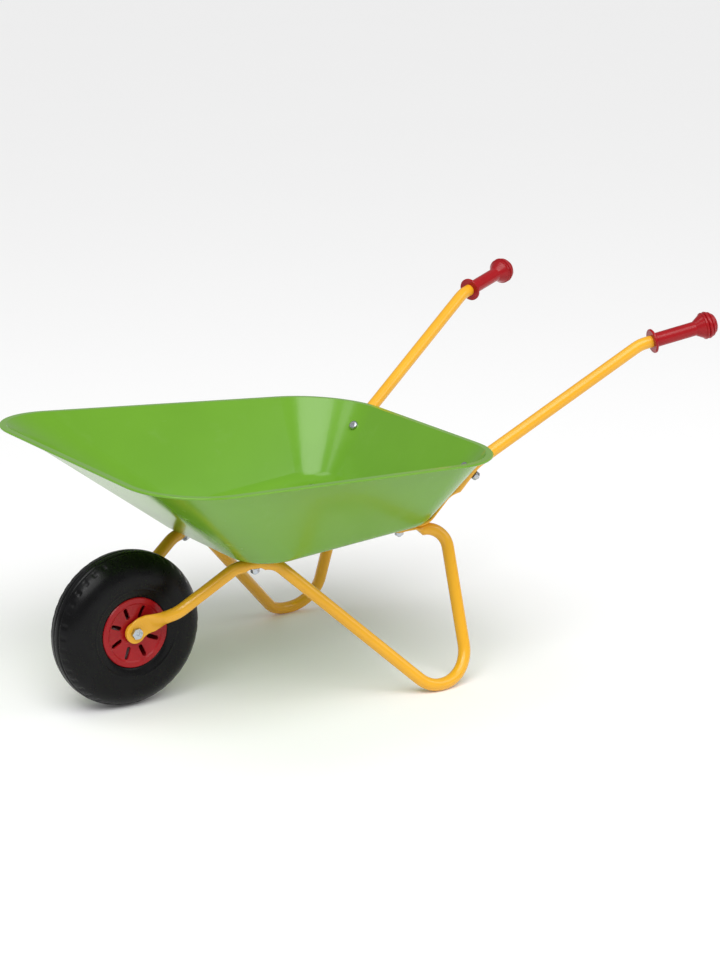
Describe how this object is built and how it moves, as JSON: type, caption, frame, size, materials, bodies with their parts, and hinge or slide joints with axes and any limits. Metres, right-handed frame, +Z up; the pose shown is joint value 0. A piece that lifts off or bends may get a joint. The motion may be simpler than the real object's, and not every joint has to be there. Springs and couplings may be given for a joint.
{
  "type": "wheelbarrow",
  "caption": "Small steel wheelbarrow: round-cornered flared tray on four bent round tubes, one spoked-hub wheel in a two-arm fork, leg loops and knobbed grips.",
  "frame": {"origin": "on the ground, under the middle of the overall length and width", "axes": "+X forward to the wheel, +Y to the user's left, +Z up"},
  "size_m": [0.864, 0.4886, 0.4522],
  "materials": {
    "tray_paint": "glossy green powder coat",
    "tube_paint": "glossy yellow-orange powder coat",
    "red_plastic": "moulded, glossy",
    "tyre_rubber": "semi-gloss rubber",
    "bush_plastic": "matt",
    "zinc": "bright zinc plate"
  },
  "bodies": {
    "frame": {"tray": "tray_paint", "left_fork_leg_tube": "tube_paint", "right_fork_leg_tube": "tube_paint", "left_handle_tube": "tube_paint", "right_handle_tube": "tube_paint", "left_grip": "red_plastic", "right_grip": "red_plastic", "axle_sleeve": "zinc", "axle_bolt": "zinc", "axle_nut": "zinc", "front_floor_bolts": "zinc", "front_floor_washers": "zinc", "front_floor_nuts": "zinc", "rear_floor_bolts": "zinc", "rear_floor_washers": "zinc", "rear_floor_nuts": "zinc", "rear_wall_bolts": "zinc", "rear_wall_washers": "zinc", "rear_wall_nuts": "zinc"},
    "wheel": {"tyre": "tyre_rubber", "left_hub_half": "red_plastic", "right_hub_half": "red_plastic", "left_bush": "bush_plastic", "right_bush": "bush_plastic"}
  },
  "joints": [
    {"name": "wheel_spin", "type": "hinge", "parent": "frame", "child": "wheel", "pos_m": [0.33197, 0, 0.1], "axis": [0, 1, 0], "continuous": true}
  ]
}
